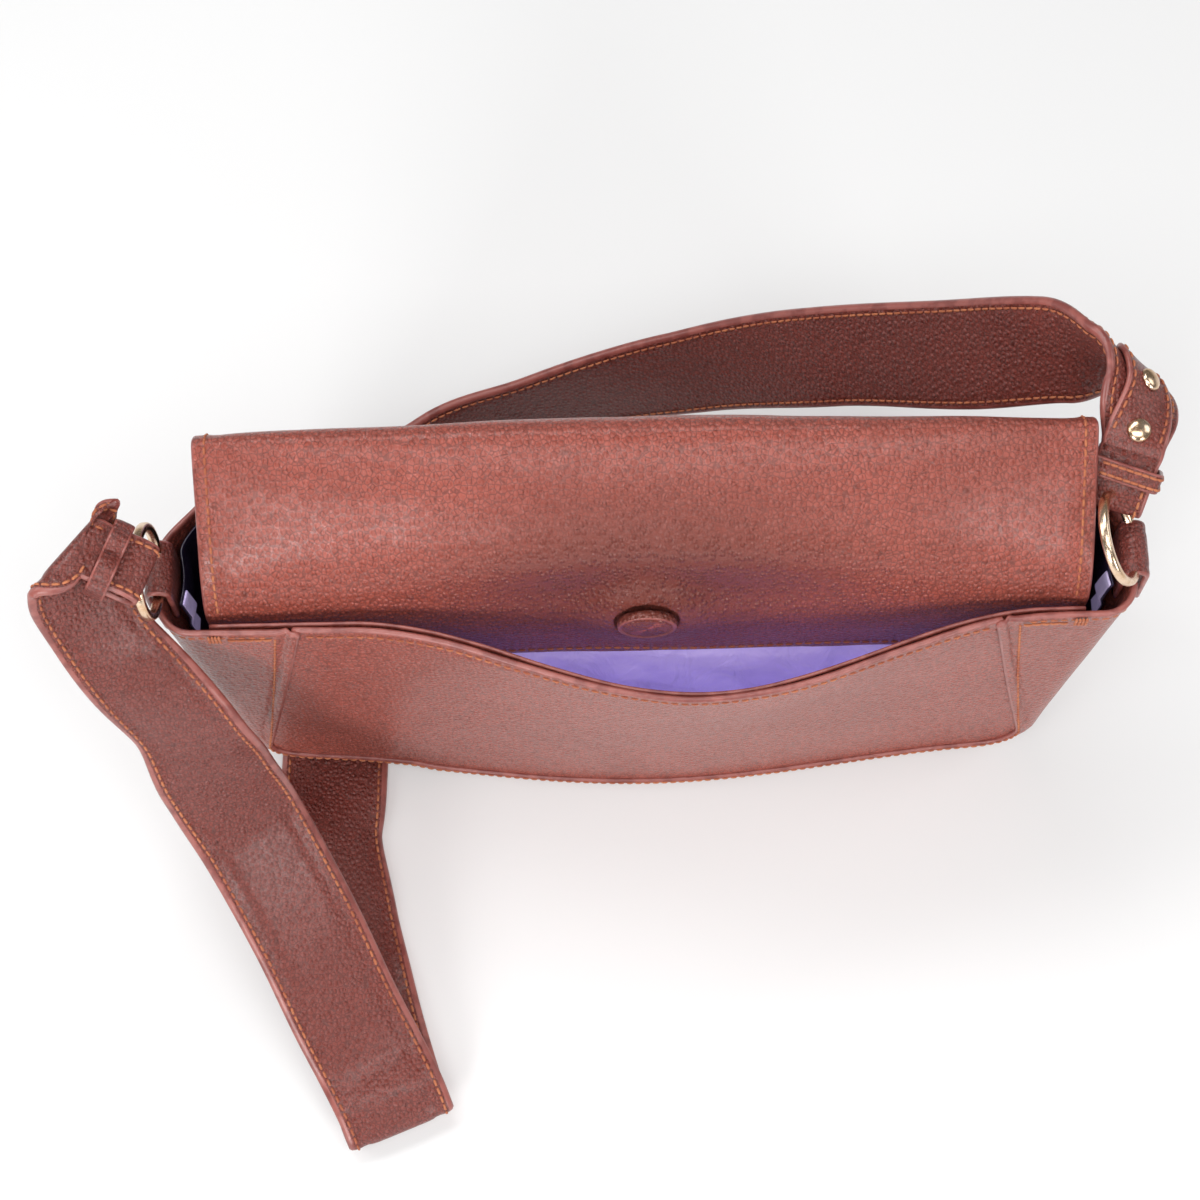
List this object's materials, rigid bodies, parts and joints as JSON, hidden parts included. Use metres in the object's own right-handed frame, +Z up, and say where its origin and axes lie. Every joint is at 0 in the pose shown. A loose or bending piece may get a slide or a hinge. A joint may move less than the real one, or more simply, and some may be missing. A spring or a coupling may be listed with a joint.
{
  "type": "crossbody purse",
  "caption": "Soft leather crossbody purse with a rear slip pocket, a front flap on a fold line, ring-held shoulder strap and satin lining.",
  "frame": {"origin": "middle of the base's underside, on the ground", "axes": "+Z up, +X to the right when the slip pocket faces the viewer, -Y out of the slip pocket's side, +Y out of the flap's side"},
  "size_m": [0.3909, 0.3015, 0.2167],
  "materials": {
    "leather": "pebbled, soft satin sheen",
    "strap_leather": "pebbled, soft satin sheen",
    "satin": "lustrous woven satin",
    "gold": "polished pale gold",
    "steel": "plain magnet plate",
    "board": "matt stiffening board",
    "thread": "twisted polyester thread"
  },
  "bodies": {
    "root": {"gusset": "leather", "rear_panel": "leather", "rear_rim_facing": "leather", "pocket_lining_panel": "satin", "front_panel": "leather", "main_lining_front": "satin", "back_wall": "leather", "pocket_lining_wall": "satin", "main_lining_rear": "satin", "main_lining_gusset": "satin", "base_board": "board", "wall_magnet": "steel", "magnet_cover": "leather", "panel_magnet": "steel", "snap_socket": "gold", "left_tab": "leather", "right_tab": "leather", "strap": "strap_leather", "strap_right_tip": "strap_leather", "right_stud_1": "gold", "right_stud_2": "gold", "left_bar_tack": "thread", "right_bar_tack": "thread"},
    "flap": {"flap": "leather", "flap_lining": "satin", "snap_plate": "gold"},
    "left_ring": {"left_ring": "gold"},
    "left_end": {"strap_left_end": "strap_leather"},
    "left_keeper": {"left_keeper": "strap_leather"},
    "right_ring": {"right_ring": "gold"},
    "right_end": {"strap_right_end": "strap_leather"},
    "right_keeper": {"right_keeper": "strap_leather"}
  },
  "joints": [
    {"name": "flap_fold", "type": "hinge", "parent": "root", "child": "flap", "pos_m": [0, 0.0215, 0.19], "axis": [1, 0, 0], "range_deg": [0, 150], "deforming": ["strap", "strap_right_tip", "right_stud_1", "right_stud_2"]},
    {"name": "left_end_swing", "type": "hinge", "parent": "root", "child": "left_end", "pos_m": [-0.1655, -0.017, 0.166], "axis": [0, 1, 0], "range_deg": [-6, 10], "deforming": ["strap"]},
    {"name": "left_ring_swing", "type": "hinge", "parent": "root", "child": "left_ring", "pos_m": [-0.1655, -0.017, 0.166], "axis": [0, 1, 0], "range_deg": [-6, 10]},
    {"name": "left_keeper_slide", "type": "slide", "parent": "left_end", "child": "left_keeper", "axis": [-0.89, 0.337, 0.307], "range_m": [0, 0.002]},
    {"name": "right_end_swing", "type": "hinge", "parent": "root", "child": "right_end", "pos_m": [0.1655, -0.017, 0.166], "axis": [0, 1, 0], "range_deg": [-3, 10], "deforming": ["strap"]},
    {"name": "right_ring_swing", "type": "hinge", "parent": "root", "child": "right_ring", "pos_m": [0.1655, -0.017, 0.166], "axis": [0, 1, 0], "range_deg": [-3, 10]},
    {"name": "right_keeper_slide", "type": "slide", "parent": "right_end", "child": "right_keeper", "axis": [0.3111, 0.7812, 0.5412], "range_m": [-0.0006, 0.002]}
  ],
  "couplings": [
    {"joint": "left_ring_swing", "follows": "left_end_swing", "ratio": 1},
    {"joint": "right_ring_swing", "follows": "right_end_swing", "ratio": 1}
  ]
}
